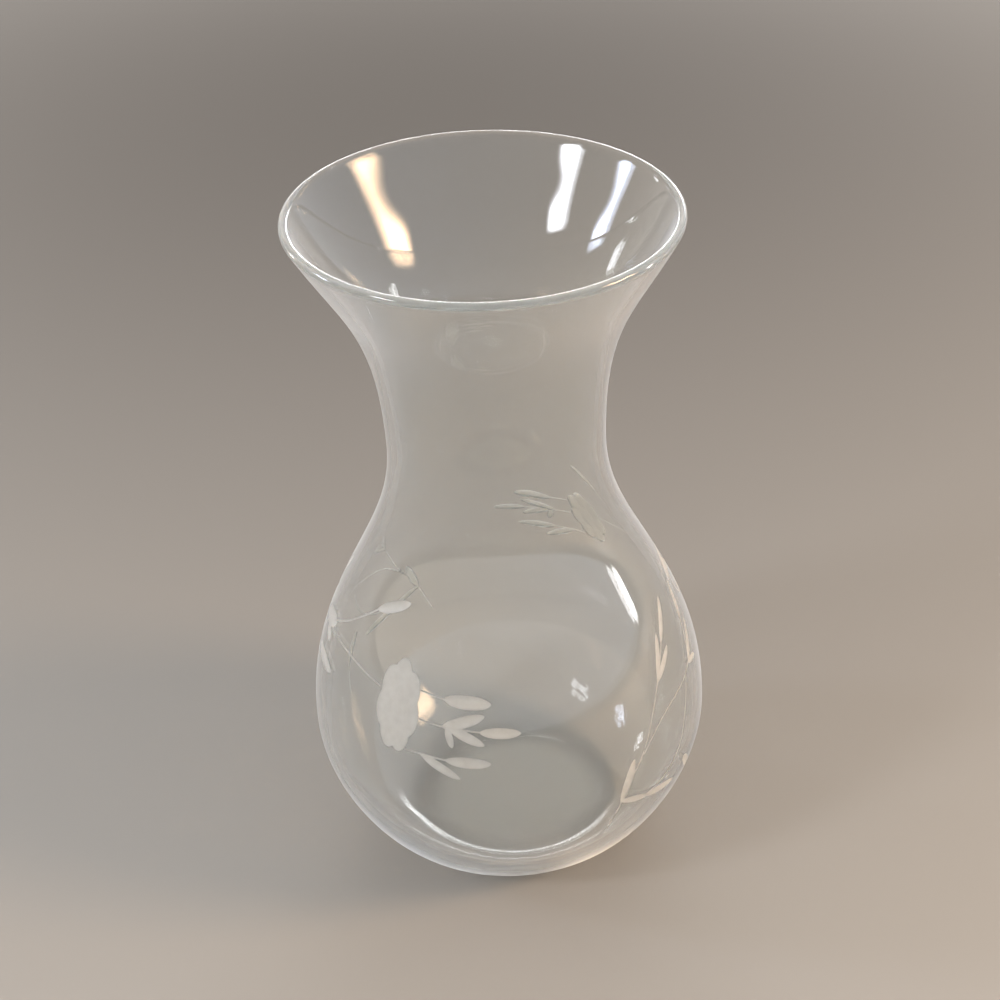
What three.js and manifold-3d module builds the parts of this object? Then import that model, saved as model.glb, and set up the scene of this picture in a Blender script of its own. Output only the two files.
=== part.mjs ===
// Clear glass vase with a wheel-ground floral decoration, in millimetres, +Z up, front towards -Y.
// The vase is one blown piece: a round bowl, a drawn-in neck and a flared mouth with a rounded lip.
// Each ground motif is a thin matt skin, seated in a shallow cut in the outside of the wall.
import * as THREE from 'three';
import { mergeVertices } from 'three/addons/utils/BufferGeometryUtils.js';
import Module from 'manifold-3d';

const wasm = await Module();
wasm.setup();

// Vase form
const HEIGHT = 200;
const MOUTH_RADIUS = 51;
const NECK_RADIUS = 29.8;
const NECK_HEIGHT = 133;
const BOWL_RADIUS = 57.7;
const BOWL_HEIGHT = 42.5;
const FOOT_RADIUS = 28;
const FLOOR_RADIUS = 27;
const FLOOR_THICKNESS = 3.5;
const WALL = 2.6;
const LIP_LEAN = 28;

// Fullness of each curve: how far it holds its end's direction, as a share of the curve's own span
const HEEL_FULLNESS = 0.5;
const BELLY_FULLNESS = 0.4;
const SHOULDER_FULLNESS = 0.45;
const THROAT_FULLNESS = 0.36;
const FLARE_FULLNESS = 0.57;
const LIP_FULLNESS = 0.38;

// Ground decoration
const GROUND_RECESS = 0.2;
const GROUND_THICKNESS = 0.4;
const SEAT_GAP = 0.3;
const STEM_WIDTH = 0.8;
const STEM_INSET = 0.06;
const TIP_HALF_WIDTH = 0.15;
const LAYOUT_HEIGHT = 100;
const LEAF_TAPER = 0.8;
const FLOWER_ANGLE = -37;
const FLOWER_RISE = 31.6;
const FLOWER_HALF_WIDTH = 7.2;
const FLOWER_HALF_HEIGHT = 14;
const FLOWER_LOBES = 7;
const FLOWER_SCALLOP = 0.1;
const BACK_LIFT = 8;

// Fineness of the meshes
const ROUND_STEPS = 48;
const BELLY_STEPS = 7;
const SHOULDER_STEPS = 9;
const FLARE_STEPS = 6;
const INSIDE_STEPS = 6;
const LIP_STEPS = 4;
const LEAF_STEPS = 4;
const STEM_STEP = 9;
const FLOWER_STEPS = 28;
const WELD = 1e-4;
const HEIGHT_SEARCH_STEPS = 40;
const TANGENT_SHARE = 0.01;

const GLASS = { color: 0xdfe7e1, roughness: 0.04, metalness: 0, transparent: true, opacity: 0.35 };
const GROUND_GLASS = { color: 0xe4e5df, roughness: 0.85, metalness: 0 };

// Outline of the wall, as radius and height

function curve(start, startHandle, endHandle, end) {
  return new THREE.CubicBezierCurve(start, startHandle, endHandle, end);
}

const point = (radius, height) => new THREE.Vector2(radius, height);

// The foot's curve leaves the flat face level and reaches the widest line upright.
function bellyCurve(flatRadius, flatHeight, wideRadius) {
  const heel = HEEL_FULLNESS * (wideRadius - flatRadius);
  const rise = BELLY_FULLNESS * (BOWL_HEIGHT - flatHeight);
  return curve(
    point(flatRadius, flatHeight),
    point(flatRadius + heel, flatHeight),
    point(wideRadius, BOWL_HEIGHT - rise),
    point(wideRadius, BOWL_HEIGHT),
  );
}

const shoulderSpan = NECK_HEIGHT - BOWL_HEIGHT;
const shoulder = curve(
  point(BOWL_RADIUS, BOWL_HEIGHT),
  point(BOWL_RADIUS, BOWL_HEIGHT + SHOULDER_FULLNESS * shoulderSpan),
  point(NECK_RADIUS, NECK_HEIGHT - THROAT_FULLNESS * shoulderSpan),
  point(NECK_RADIUS, NECK_HEIGHT),
);

const lean = THREE.MathUtils.degToRad(LIP_LEAN);
const lipUp = point(Math.sin(lean), Math.cos(lean));
const lipOut = point(Math.cos(lean), -Math.sin(lean));
const lipCentre = point(MOUTH_RADIUS - WALL / 2, HEIGHT - WALL / 2);
const lipEdge = lipCentre.clone().addScaledVector(lipOut, WALL / 2);
const flareSpan = lipEdge.y - NECK_HEIGHT;
const flare = curve(
  point(NECK_RADIUS, NECK_HEIGHT),
  point(NECK_RADIUS, NECK_HEIGHT + FLARE_FULLNESS * flareSpan),
  lipEdge.clone().addScaledVector(lipUp, -LIP_FULLNESS * flareSpan),
  lipEdge,
);

const belly = bellyCurve(FOOT_RADIUS, 0, BOWL_RADIUS);
const innerBelly = bellyCurve(FLOOR_RADIUS, FLOOR_THICKNESS, BOWL_RADIUS - WALL);

function outwardNormal(path, share) {
  const along = path.getTangent(share);
  return point(along.y, -along.x);
}

// The inside of the wall runs level with the outside, one wall thickness in.
function insidePoints(path) {
  return Array.from({ length: INSIDE_STEPS + 1 }, (_, i) => {
    const share = i / INSIDE_STEPS;
    return path.getPoint(share).addScaledVector(outwardNormal(path, share), -WALL);
  });
}

function lipPoints() {
  return Array.from({ length: LIP_STEPS + 1 }, (_, i) => {
    const turn = (Math.PI * i) / LIP_STEPS;
    return lipCentre.clone()
      .addScaledVector(lipOut, (WALL / 2) * Math.cos(turn))
      .addScaledVector(lipUp, (WALL / 2) * Math.sin(turn));
  });
}

function bodyGeometry() {
  const outline = [
    point(0, 0),
    ...belly.getPoints(BELLY_STEPS),
    ...shoulder.getPoints(SHOULDER_STEPS).slice(1),
    ...flare.getPoints(FLARE_STEPS).slice(1, -1),
    ...lipPoints(),
    ...insidePoints(flare).reverse().slice(1),
    ...insidePoints(shoulder).reverse().slice(1),
    ...innerBelly.getPoints(INSIDE_STEPS).reverse().slice(1),
    point(0, FLOOR_THICKNESS),
  ];
  return new THREE.LatheGeometry(outline, ROUND_STEPS).rotateX(Math.PI / 2);
}

// Places on the outside of the wall

// The wall's outline point and outward normal at a height above the foot.
function wallAt(height) {
  const aboveBelly = height < NECK_HEIGHT ? shoulder : flare;
  const path = height < BOWL_HEIGHT ? belly : aboveBelly;
  let low = 0;
  let high = 1;
  for (let i = 0; i < HEIGHT_SEARCH_STEPS; i += 1) {
    const middle = (low + high) / 2;
    if (path.getPoint(middle).y < height) low = middle;
    else high = middle;
  }
  return { outline: path.getPoint(low), normal: outwardNormal(path, low) };
}

// A point on the wall, or below its surface, at an angle from the front (radians) and a height.
function onWall(angle, height, depth) {
  const { outline, normal } = wallAt(height);
  const radius = outline.x - normal.x * depth;
  const level = outline.y - normal.y * depth;
  return new THREE.Vector3(radius * Math.sin(angle), -radius * Math.cos(angle), level);
}

// A point near the wall, dropped on to it at its own angle and height.
const drop = (near, depth) => onWall(Math.atan2(near.x, -near.y), near.z, depth);

// The directions at a place on the wall: right along the wall, up it and straight out of it.
function wallFrame(angle, height) {
  const { normal } = wallAt(height);
  const right = new THREE.Vector3(Math.cos(angle), Math.sin(angle), 0);
  const out = new THREE.Vector3(normal.x * Math.sin(angle), -normal.x * Math.cos(angle), normal.y);
  return { right, out, up: out.clone().cross(right) };
}

// Ground motifs. A place is [degrees right of the flower, parts above the widest line]: leaf widths
// and the heights of places are in hundredth parts of the layout's height.

const layoutPart = LAYOUT_HEIGHT / 100;

class Spray {
  constructor(name, turn, lift) {
    this.name = name;
    this.axis = THREE.MathUtils.degToRad(FLOWER_ANGLE + turn);
    this.base = BOWL_HEIGHT + lift;
  }

  angle(place) {
    return this.axis + THREE.MathUtils.degToRad(place[0]);
  }

  height(place) {
    return this.base + layoutPart * place[1];
  }

  // A point of the flower's scalloped edge, `share` of the way out from its centre.
  flowerPoint(turn, share, grow, depth) {
    const ripple = 1 - FLOWER_SCALLOP * (1 - Math.abs(Math.cos((FLOWER_LOBES * turn) / 2)));
    const height = this.base + FLOWER_RISE;
    const { right, up } = wallFrame(this.axis, height);
    const near = onWall(this.axis, height, 0)
      .addScaledVector(right, share * (FLOWER_HALF_WIDTH * ripple + grow) * Math.cos(turn))
      .addScaledVector(up, share * (FLOWER_HALF_HEIGHT * ripple + grow) * Math.sin(turn));
    return drop(near, depth);
  }

  // The place just clear of the flower's edge, where a stem starts.
  besideFlower(degrees) {
    const clear = SEAT_GAP + STEM_WIDTH / 2;
    const edge = this.flowerPoint(THREE.MathUtils.degToRad(degrees), 1, clear, 0);
    const angle = Math.atan2(edge.x, -edge.y) - this.axis;
    const nearest = Math.atan2(Math.sin(angle), Math.cos(angle));
    return [THREE.MathUtils.radToDeg(nearest), (edge.z - this.base) / layoutPart];
  }

  // A stroke follows its places; `taper` 0 keeps its width and 1 brings both ends to a point.
  stroke({ places, halfWidth, taper, inset, steps }, grow, top, bottom) {
    const path = new THREE.SplineCurve(places.map((place) => new THREE.Vector2(...place)));
    const centre = (share) => {
      const place = path.getPoint(THREE.MathUtils.clamp(share, 0, 1)).toArray();
      return onWall(this.angle(place), this.height(place), 0);
    };
    const box = new THREE.BoxGeometry(1, 1, 1, steps, 1, 1);
    const position = box.attributes.position;
    for (let i = 0; i < position.count; i += 1) {
      const share = position.getX(i) + 0.5;
      const middle = centre(share);
      const along = centre(share + TANGENT_SHARE).sub(centre(share - TANGENT_SHARE)).normalize();
      const { out } = wallFrame(Math.atan2(middle.x, -middle.y), middle.z);
      const swell = (4 * share * (1 - share)) ** taper;
      const width = Math.max(halfWidth * swell, TIP_HALF_WIDTH) + grow;
      const past = (Math.round(share) === share ? 2 * share - 1 : 0) * grow;
      const near = middle.addScaledVector(along, past)
        .addScaledVector(out.clone().cross(along), 2 * width * position.getY(i));
      const depth = position.getZ(i) > 0 ? top + inset : bottom - inset;
      position.setXYZ(i, ...drop(near, depth).toArray());
    }
    return solidOf(box);
  }

  flower(grow, top, bottom) {
    const rim = [point(0, -1), point(0.5, -1), point(1, -1), point(1, 1), point(0.5, 1), point(0, 1)];
    const disc = new THREE.LatheGeometry(rim, FLOWER_STEPS).rotateX(Math.PI / 2);
    const position = disc.attributes.position;
    for (let i = 0; i < position.count; i += 1) {
      const turn = Math.atan2(position.getY(i), position.getX(i));
      const share = Math.hypot(position.getX(i), position.getY(i));
      const depth = position.getZ(i) > 0 ? top : bottom;
      position.setXYZ(i, ...this.flowerPoint(turn, share, grow, depth).toArray());
    }
    return solidOf(disc);
  }

  // The strokes of each motif, by the motif's name.
  motifs() {
    return {
      upper_sprig: [
        stem(this.besideFlower(29), [16, 37.1], [19.5, 37]),
        leaf(2.1, [15.5, 37.1], [30.7, 36.8]),
      ],
      middle_sprig: [
        stem(this.besideFlower(-5), [15, 29.9], [21.6, 29.7], [30.5, 29.3]),
        leaf(1.6, [27, 29.4], [39.4, 29.1]),
        leaf(1.7, [15.5, 29.7], [28.6, 33.8]),
        leaf(1.5, [17.5, 30], [28.5, 25.8]),
        leaf(1.1, [17, 30], [19, 24.3]),
      ],
      lower_sprig: [
        stem(this.besideFlower(-56), [9.8, 20.8], [17.7, 20.5], [21, 20.5]),
        leaf(1.7, [17, 20.5], [30.4, 20.6]),
        leaf(1.4, [9.3, 21], [21.5, 15.3]),
      ],
      flower_stem: [
        stem(this.besideFlower(166), [-20.8, 36.1], [-32.4, 36.2], [-49, 34.6]),
        leaf(2.6, [-41, 37.6], [-57, 33.2]),
        leaf(1.5, [-50, 34.2], [-41.5, 31.4]),
        stem([-45.5, 36.4], [-35.3, 41.5], [-29.6, 44.9], [-18.5, 52], [-15, 53.3]),
        leaf(1.6, [-19.2, 51.7], [-3.6, 57.7]),
        stem([-50, 35], [-53.5, 30], [-52, 26.2], [-46.5, 25.2]),
        leaf(2, [-51.5, 25], [-33.8, 26.1]),
      ],
      wheat_spray: [
        stem([62.6, -12.6], [67.9, -0.6], [73.5, 8], [85.9, 17.8], [103.6, 21.6], [110.5, 24.5]),
        leaf(1.5, [67.4, -1.4], [73, 11.4]),
        leaf(1.2, [67.3, -0.8], [77.6, -4.9]),
        stem([73.2, 7.5], [78.3, 14.6], [82.8, 21.6], [88.4, 28.6], [93.2, 33.2], [98.5, 38]),
        leaf(1, [88, 28], [95.8, 39.2]),
        leaf(1.1, [88, 28.1], [98.8, 34]),
        leaf(1.1, [96, 35.9], [107.3, 45]),
        stem([108, 23], [111.5, 28.5], [116, 35.4]),
        leaf(1.2, [107.5, 22], [118, 31.1]),
        leaf(1.3, [114, 32.6], [121.4, 42.5]),
        leaf(1.1, [107.2, 22.8], [114.7, 20.6]),
        stem([75.8, -4.2], [85.5, -2], [93, 3.8], [97.6, 11.7], [103.5, 21.7]),
        leaf(1.5, [76.2, -4.2], [90.6, -8]),
      ],
      low_leaf: [
        stem([107, -19.8], [104, -15], [100, -8.7]),
        leaf(1.6, [102.8, -12.5], [95.2, -2.7]),
      ],
    };
  }

  // The solid of every motif, grown sideways and set between two depths.
  solids(grow, top, bottom) {
    const drawn = { flower: this.flower(grow, top, bottom) };
    for (const [motif, strokes] of Object.entries(this.motifs())) {
      drawn[motif] = strokes
        .map((each) => this.stroke(each, grow, top, bottom))
        .reduce((joined, next) => joined.add(next));
    }
    return drawn;
  }
}

function stem(...places) {
  const [start, end] = [places[0], places.at(-1)];
  const across = THREE.MathUtils.degToRad(end[0] - start[0]) * BOWL_RADIUS;
  const run = Math.hypot(across, layoutPart * (end[1] - start[1]));
  const steps = Math.max(places.length, Math.ceil(run / STEM_STEP));
  return { places, halfWidth: STEM_WIDTH / 2, taper: 0, inset: STEM_INSET, steps };
}

function leaf(halfWidth, from, to) {
  const places = [from, to];
  return { places, halfWidth: layoutPart * halfWidth, taper: LEAF_TAPER, inset: 0, steps: LEAF_STEPS };
}

// Solids and meshes

function solidOf(geometry) {
  geometry.deleteAttribute('normal');
  geometry.deleteAttribute('uv');
  const merged = mergeVertices(geometry, WELD);
  const corners = merged.index.array;
  const kept = [];
  for (let i = 0; i < corners.length; i += 3) {
    const [a, b, c] = corners.slice(i, i + 3);
    if (a !== b && b !== c && c !== a) kept.push(a, b, c);
  }
  return new wasm.Manifold(new wasm.Mesh({
    numProp: 3,
    vertProperties: merged.attributes.position.array,
    triVerts: Uint32Array.from(kept),
  }));
}

function meshOf(name, solid, finish) {
  const { vertProperties, triVerts } = solid.getMesh();
  const geometry = new THREE.BufferGeometry();
  geometry.setAttribute('position', new THREE.BufferAttribute(vertProperties, 3));
  geometry.setIndex(new THREE.BufferAttribute(triVerts, 1));
  geometry.computeVertexNormals();
  const mesh = new THREE.Mesh(geometry, new THREE.MeshStandardMaterial(finish));
  mesh.name = name;
  return mesh;
}

// The vase: the cuts are made in the body, and each ground skin is set in its own cut.
function buildVase() {
  const vase = new THREE.Group();
  const sprays = [new Spray('front', 0, 0), new Spray('back', 180, BACK_LIFT)];
  const skinBottom = GROUND_RECESS + GROUND_THICKNESS;
  let body = solidOf(bodyGeometry());
  for (const spray of sprays) {
    const cuts = Object.values(spray.solids(SEAT_GAP, -WALL, skinBottom + SEAT_GAP));
    body = body.subtract(cuts.reduce((joined, next) => joined.add(next)));
    for (const [motif, skin] of Object.entries(spray.solids(0, GROUND_RECESS, skinBottom))) {
      vase.add(meshOf(`${motif}_${spray.name}`, skin, GROUND_GLASS));
    }
  }
  vase.add(meshOf('glass_body', body, GLASS));
  return vase;
}

export default buildVase();
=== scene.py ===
"""Looks of a clear blown-glass vase with a wheel-ground floral decoration.

It works in metres, around the vase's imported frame. The vase's own sizes are in millimetres.
"""

import logging
from collections.abc import Sequence
from dataclasses import dataclass
from enum import Enum
from functools import cached_property

import bpy
import numpy as np
from mathutils import Matrix, Vector
from mathutils.geometry import delaunay_2d_cdt


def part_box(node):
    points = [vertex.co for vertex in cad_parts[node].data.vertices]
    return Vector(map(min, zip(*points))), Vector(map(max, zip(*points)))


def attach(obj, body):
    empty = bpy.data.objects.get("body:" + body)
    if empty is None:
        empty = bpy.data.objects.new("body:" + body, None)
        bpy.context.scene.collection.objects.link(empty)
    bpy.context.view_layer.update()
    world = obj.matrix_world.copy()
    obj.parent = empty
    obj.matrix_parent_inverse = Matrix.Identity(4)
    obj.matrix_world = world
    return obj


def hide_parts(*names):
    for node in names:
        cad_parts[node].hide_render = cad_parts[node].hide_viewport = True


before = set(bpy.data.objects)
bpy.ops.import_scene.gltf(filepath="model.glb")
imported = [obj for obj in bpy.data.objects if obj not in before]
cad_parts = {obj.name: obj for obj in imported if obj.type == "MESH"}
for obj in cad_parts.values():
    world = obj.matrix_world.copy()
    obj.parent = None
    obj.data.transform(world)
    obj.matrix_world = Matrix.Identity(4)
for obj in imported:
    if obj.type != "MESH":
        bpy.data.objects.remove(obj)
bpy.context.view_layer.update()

log = logging.getLogger("glass_vase")

MM = 0.001
BODY = "root"
# How near, in millimetres, a place counts as on an edge of the decorated band
ON_EDGE = 1e-4
# A Mix node's colour sockets, by number, as its number and vector sockets have the same names
MIX_A, MIX_B, MIX_RESULT = 6, 7, 2


class Slot(Enum):
    """The record's material slots."""

    CLEAR = "clear_glass"
    GROUND = "ground_glass"


class Wheel(Enum):
    """How a wheel stroke runs: a stem keeps its width, and a leaf tapers to a point at both ends."""

    STEM = "stem"
    LEAF = "leaf"


# Meshes


def bezier(handles: Sequence[Sequence[float]], share: np.ndarray) -> np.ndarray:
    """Points of a cubic curve, B(t) = (1-t)^3 P0 + 3 t (1-t)^2 P1 + 3 t^2 (1-t) P2 + t^3 P3.

    Args:
        handles: the four points P0 to P3, as radius and height.
        share: the values of t.

    Returns:
        One row of radius and height for each t.
    """
    t = np.asarray(share, float)[:, None]
    p = np.asarray(handles, float)
    return (1 - t) ** 3 * p[0] + 3 * t * (1 - t) ** 2 * p[1] + 3 * t**2 * (1 - t) * p[2] + t**3 * p[3]


def run_along(line: np.ndarray) -> np.ndarray:
    """The length along a line from its start to each of its points."""
    return np.concatenate([[0], np.cumsum(np.linalg.norm(np.diff(line, axis=0), axis=1))])


def spaced(line: np.ndarray, step: float) -> np.ndarray:
    """Points along a line from end to end, evenly spaced.

    Args:
        line: closely spaced points, as radius and height.
        step: about how far apart the new points are.

    Returns:
        The new points, both ends among them.
    """
    run = run_along(line)
    even = np.linspace(0, run[-1], int(np.ceil(run[-1] / step)) + 1)
    return np.column_stack([np.interp(even, run, line[:, 0]), np.interp(even, run, line[:, 1])])


def outward(line: np.ndarray) -> np.ndarray:
    """Unit normals to the right of a line's direction: its tangent by central differences, turned a quarter.

    Args:
        line: points along the line, as radius and height.

    Returns:
        One unit normal for each point.
    """
    along = np.gradient(line, axis=0)
    along /= np.linalg.norm(along, axis=1, keepdims=True)
    return np.column_stack([along[:, 1], -along[:, 0]])


def turned(rows: np.ndarray, radius: np.ndarray, angle: np.ndarray) -> np.ndarray:
    """Rings of points round the axis, x = r sin a, y = -r cos a.

    Args:
        rows: an outline, as radius and height, one row for each ring.
        radius: each point's radius, rings by angles.
        angle: the angles from the front, in radians.

    Returns:
        An array of rings by angles by three.
    """
    height = np.broadcast_to(rows[:, 1:], radius.shape)
    return np.stack([radius * np.sin(angle), -radius * np.cos(angle), height], axis=-1)


def ring_quads(grid: np.ndarray) -> np.ndarray:
    """Quads that join each ring of vertex numbers to the next, facing out where the rings go up."""
    following = np.roll(grid, -1, axis=1)
    return np.stack([grid[:-1], following[:-1], following[1:], grid[1:]], axis=-1).reshape(-1, 4)


def fan(middle: int, ring: np.ndarray) -> np.ndarray:
    """Triangles from a middle vertex to each side of a ring of vertex numbers, facing up."""
    return np.column_stack([np.full(len(ring), middle), ring, np.roll(ring, -1)])


def rim_pairs(triangles: np.ndarray) -> np.ndarray:
    """The edges that only one of the triangles has.

    Args:
        triangles: rows of three vertex numbers.

    Returns:
        Pairs of vertex numbers.
    """
    pairs = np.sort(triangles[:, [0, 1, 1, 2, 2, 0]].reshape(-1, 2), axis=1)
    unique, count = np.unique(pairs, axis=0, return_counts=True)
    return unique[count == 1]


def new_piece(
    name: str, points: np.ndarray, faces: list[list[int]], sharp: np.ndarray
) -> bpy.types.Object:
    """A smooth mesh object at the origin, with some of its edges sharp.

    Args:
        name: the object's name.
        points: its vertices, in millimetres.
        faces: lists of vertex numbers.
        sharp: pairs of vertex numbers, one for each sharp edge.

    Returns:
        The new object, in metres.
    """
    mesh = bpy.data.meshes.new(name)
    mesh.from_pydata((points * MM).tolist(), [], faces)
    mesh.shade_smooth()
    ends = np.empty(2 * len(mesh.edges), np.int32)
    mesh.edges.foreach_get("vertices", ends)
    key = np.array([len(points), 1])
    is_sharp = np.isin(np.sort(ends.reshape(-1, 2), axis=1) @ key, np.sort(sharp, axis=1) @ key)
    mesh.edges.foreach_set("use_edge_sharp", is_sharp)
    mesh.update()
    piece = bpy.data.objects.new(name, mesh)
    bpy.context.scene.collection.objects.link(piece)
    return piece


def hand_over(
    piece: bpy.types.Object, material: bpy.types.Material, node: str
) -> None:
    """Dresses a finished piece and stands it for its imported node.

    Args:
        piece: the finished piece.
        material: its material.
        node: the node that it replaces.
    """
    piece.data.materials.append(material)
    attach(piece, BODY)
    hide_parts(node)
    log.info("%s: %d faces, for %s", piece.name, len(piece.data.polygons), node)


# Materials


def linear(colour: str) -> tuple[float, float, float, float]:
    """A colour as Blender's shaders take it, from sRGB hex.

    Args:
        colour: the colour, such as "#F4F8F5".

    Returns:
        Linear red, green and blue, and an alpha of 1.
    """
    srgb = np.array([int(colour[i : i + 2], 16) for i in (1, 3, 5)]) / 255
    rgb = np.where(srgb <= 0.04045, srgb / 12.92, ((srgb + 0.055) / 1.055) ** 2.4)
    return (*rgb.tolist(), 1.0)


def add_node(
    tree: bpy.types.NodeTree, kind: str, links: dict | None = None, **settings: object
) -> bpy.types.Node:
    """Adds a node with its settings and links.

    Args:
        tree: the node tree.
        kind: the node's type name.
        links: what each input takes: an output socket to link, or a value to set.
        settings: the node's own properties.

    Returns:
        The new node.
    """
    node = tree.nodes.new(kind)
    for name, value in settings.items():
        setattr(node, name, value)
    for name, value in (links or {}).items():
        if isinstance(value, bpy.types.NodeSocket):
            tree.links.new(value, node.inputs[name])
        else:
            node.inputs[name].default_value = value
    return node


def new_material(name: str) -> tuple[bpy.types.Material, bpy.types.NodeTree]:
    """An empty node material.

    Args:
        name: the material's name.

    Returns:
        The material and its node tree.
    """
    material = bpy.data.materials.new(name)
    material.use_nodes = True
    material.node_tree.nodes.clear()
    return material, material.node_tree


def per_metre(size_mm: float) -> float:
    """A texture's scale, so that one of its cells is so many millimetres across."""
    return 1 / (size_mm * MM)


@dataclass(frozen=True)
class BlownGlass:
    """Soda-lime glass, blown and fire-polished: clear, faintly green where the eye looks along the wall.

    A faint haze in the glass whitens the lip, the heel and the outline, where the eye looks through most of
    it. A film from handling dulls the shine in patches and gives the slanting wall a soft bloom.
    """

    surface: str = "#FDFEFD"
    edge_tint: str = "#C9DDD2"
    tint_depth: float = 6.0
    ior: float = 1.52
    haze: str = "#EEF4F0"
    haze_depth: float = 22.0
    film: float = 0.95
    film_spread: float = 0.35
    smoothest: float = 0.0
    handled: float = 0.035
    film_mm: float = 26.0
    ripple_mm: float = 14.0
    ripple_height_mm: float = 0.012

    def material(self) -> bpy.types.Material:
        """The material: a smooth clear shell with a faint film, and absorption and haze in the glass.

        Returns:
            The new material.
        """
        material, tree = new_material("soda_lime_glass_blown")
        place = add_node(tree, "ShaderNodeTexCoord").outputs["Object"]
        film = add_node(
            tree,
            "ShaderNodeTexNoise",
            {"Vector": place, "Scale": per_metre(self.film_mm), "Detail": 5.0, "Roughness": 0.62},
        ).outputs["Fac"]
        dull = add_node(
            tree,
            "ShaderNodeMapRange",
            {
                "Value": film,
                "From Min": 0.5,
                "From Max": 0.75,
                "To Min": self.smoothest,
                "To Max": self.handled,
            },
        ).outputs["Result"]
        ripple = add_node(
            tree,
            "ShaderNodeTexNoise",
            {"Vector": place, "Scale": per_metre(self.ripple_mm), "Detail": 1.0},
        ).outputs["Fac"]
        skin = add_node(
            tree,
            "ShaderNodeBump",
            {"Height": ripple, "Strength": 1.0, "Distance": self.ripple_height_mm * MM},
        ).outputs["Normal"]
        shell = add_node(
            tree,
            "ShaderNodeBsdfPrincipled",
            {
                "Base Color": linear(self.surface),
                "Roughness": dull,
                "IOR": self.ior,
                "Transmission Weight": 1.0,
                "Normal": skin,
                "Sheen Weight": self.film,
                "Sheen Roughness": self.film_spread,
            },
        )
        depth = add_node(
            tree,
            "ShaderNodeVolumeAbsorption",
            {"Color": linear(self.edge_tint), "Density": self.tint_depth},
        )
        haze = add_node(
            tree, "ShaderNodeVolumeScatter", {"Color": linear(self.haze), "Density": self.haze_depth}
        )
        both = add_node(
            tree, "ShaderNodeAddShader", {0: depth.outputs["Volume"], 1: haze.outputs["Volume"]}
        )
        add_node(
            tree,
            "ShaderNodeOutputMaterial",
            {"Surface": shell.outputs["BSDF"], "Volume": both.outputs["Shader"]},
        )
        return material


@dataclass(frozen=True)
class GroundGlass:
    """Soda-lime glass roughened by a stone wheel: matt, whitish and half see-through.

    The grit marks are drawn a little coarser than a wheel leaves them, so that they show.
    """

    light: str = "#F4F1E9"
    shade: str = "#DBD7CD"
    ior: float = 1.52
    transmission: float = 0.45
    scatter_mm: float = 0.4
    roughness: tuple[float, float] = (0.5, 0.68)
    cloud_mm: float = 2.4
    grit_mm: float = 0.22
    grit_height_mm: float = 0.02

    def material(self) -> bpy.types.Material:
        """The material: cloudy matt white that passes blurred light.

        Returns:
            The new material.
        """
        material, tree = new_material("wheel_ground_matt_glass")
        place = add_node(tree, "ShaderNodeTexCoord").outputs["Object"]
        cloud = add_node(
            tree,
            "ShaderNodeTexNoise",
            {"Vector": place, "Scale": per_metre(self.cloud_mm), "Detail": 4.0},
        ).outputs["Fac"]
        colour = add_node(
            tree,
            "ShaderNodeMix",
            {"Factor": cloud, MIX_A: linear(self.shade), MIX_B: linear(self.light)},
            data_type="RGBA",
        ).outputs[MIX_RESULT]
        smooth, rough = self.roughness
        matt = add_node(
            tree,
            "ShaderNodeMapRange",
            {"Value": cloud, "From Min": 0.3, "From Max": 0.7, "To Min": smooth, "To Max": rough},
        ).outputs["Result"]
        grit = add_node(
            tree,
            "ShaderNodeTexNoise",
            {"Vector": place, "Scale": per_metre(self.grit_mm), "Detail": 2.0},
        ).outputs["Fac"]
        skin = add_node(
            tree,
            "ShaderNodeBump",
            {"Height": grit, "Strength": 0.6, "Distance": self.grit_height_mm * MM},
        ).outputs["Normal"]
        shell = add_node(
            tree,
            "ShaderNodeBsdfPrincipled",
            {
                "Base Color": colour,
                "Roughness": matt,
                "IOR": self.ior,
                "Transmission Weight": self.transmission,
                "Subsurface Weight": 1.0,
                "Subsurface Radius": (1.0, 1.0, 1.0),
                "Subsurface Scale": self.scatter_mm * MM,
                "Normal": skin,
            },
        )
        add_node(tree, "ShaderNodeOutputMaterial", {"Surface": shell.outputs["BSDF"]})
        return material


# The glass


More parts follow.
